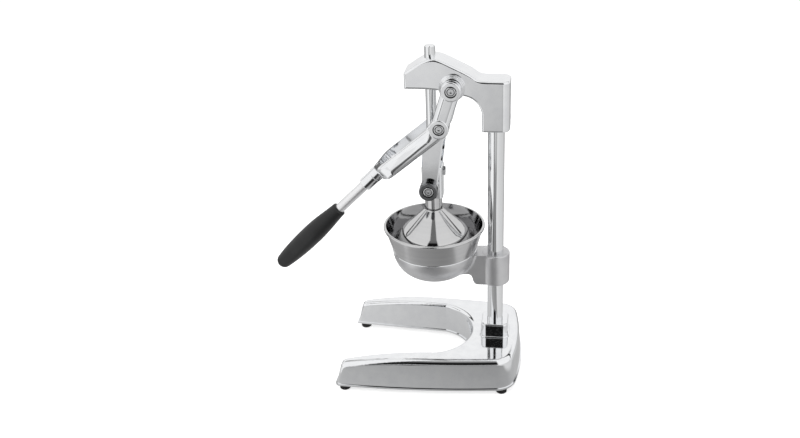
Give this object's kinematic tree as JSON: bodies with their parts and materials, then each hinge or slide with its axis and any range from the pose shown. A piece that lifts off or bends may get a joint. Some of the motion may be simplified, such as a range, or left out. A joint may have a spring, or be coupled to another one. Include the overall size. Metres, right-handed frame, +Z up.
{
  "type": "manual juicer",
  "caption": "Hand lever citrus press with a horseshoe stand, a column, a forked lever and links that drive a bell onto a strainer cone in a bowl.",
  "frame": {"origin": "on the table, at the middle of the object's length and width, at the handle's rest position", "axes": "+Z up; +X from the handle towards the column; +Y to the far side, so the near side of the picture is -Y"},
  "size_m": [0.3012, 0.1576, 0.408],
  "materials": {
    "chromed_casting": "bright chrome plate on a die casting",
    "chromed_bar": "bright chrome plate on a ground bar",
    "chromed_steel": "bright chrome plate on steel",
    "satin_tube": "satin anodised tube",
    "polished_stainless": "mirror polished spun stainless",
    "brushed_stainless": "spun stainless sheet with fine turning lines",
    "screw_steel": "plain zinc-plated screws and pins",
    "black_grip": "satin black moulded plastic",
    "black_rubber": "matt black rubber"
  },
  "bodies": {
    "frame": {"base_casting": "chromed_casting", "bowl_bracket": "chromed_casting", "bracket_set_screw": "screw_steel", "column_bar": "chromed_bar", "column_bolt": "screw_steel", "column_washer": "screw_steel", "foot_screw_front_far": "screw_steel", "foot_screw_front_near": "screw_steel", "foot_screw_rear_far": "screw_steel", "foot_screw_rear_near": "screw_steel", "head_casting": "chromed_casting", "head_set_screw": "screw_steel", "rubber_foot_front_far": "black_rubber", "rubber_foot_front_near": "black_rubber", "rubber_foot_rear_far": "black_rubber", "rubber_foot_rear_near": "black_rubber"},
    "lever": {"lever_fork": "chromed_casting", "handle_collar": "chromed_steel", "handle_tube": "satin_tube", "handle_grip": "black_grip", "fulcrum_shaft": "screw_steel", "fulcrum_screw_near": "screw_steel", "fulcrum_screw_far": "screw_steel", "knee_pin_near": "screw_steel", "knee_pin_far": "screw_steel"},
    "plunger": {"guide_rod": "chromed_bar", "crosshead": "chromed_steel", "crosshead_set_screw": "screw_steel", "press_bell": "polished_stainless"},
    "links": {"link_near": "chromed_steel", "link_far": "chromed_steel", "crosshead_cap_near": "chromed_steel", "crosshead_cap_far": "chromed_steel", "crosshead_pin_near": "screw_steel", "crosshead_pin_far": "screw_steel"},
    "bowl": {"juice_bowl": "brushed_stainless", "strainer_cone": "brushed_stainless"}
  },
  "joints": [
    {"name": "lever_swing", "type": "hinge", "parent": "frame", "child": "lever", "pos_m": [0.07007, 0, 0.366], "axis": [0, 1, 0], "range_deg": [0, 90]},
    {"name": "plunger_slide", "type": "slide", "parent": "frame", "child": "plunger", "axis": [0, 0, 1], "range_m": [0, 0.05708]},
    {"name": "link_swing", "type": "hinge", "parent": "plunger", "child": "links", "pos_m": [0.04277, 0, 0.24724], "axis": [0, 1, 0], "range_deg": [-21.9, 0]},
    {"name": "bowl_turn", "type": "hinge", "parent": "frame", "child": "bowl", "pos_m": [0.04457, 0, 0.16274], "axis": [0, 0, 1], "continuous": true}
  ],
  "couplings": [
    {"joint": "plunger_slide", "follows": "lever_swing", "m_per_rad": 0.036337},
    {"joint": "link_swing", "follows": "lever_swing", "ratio": -0.24336}
  ]
}
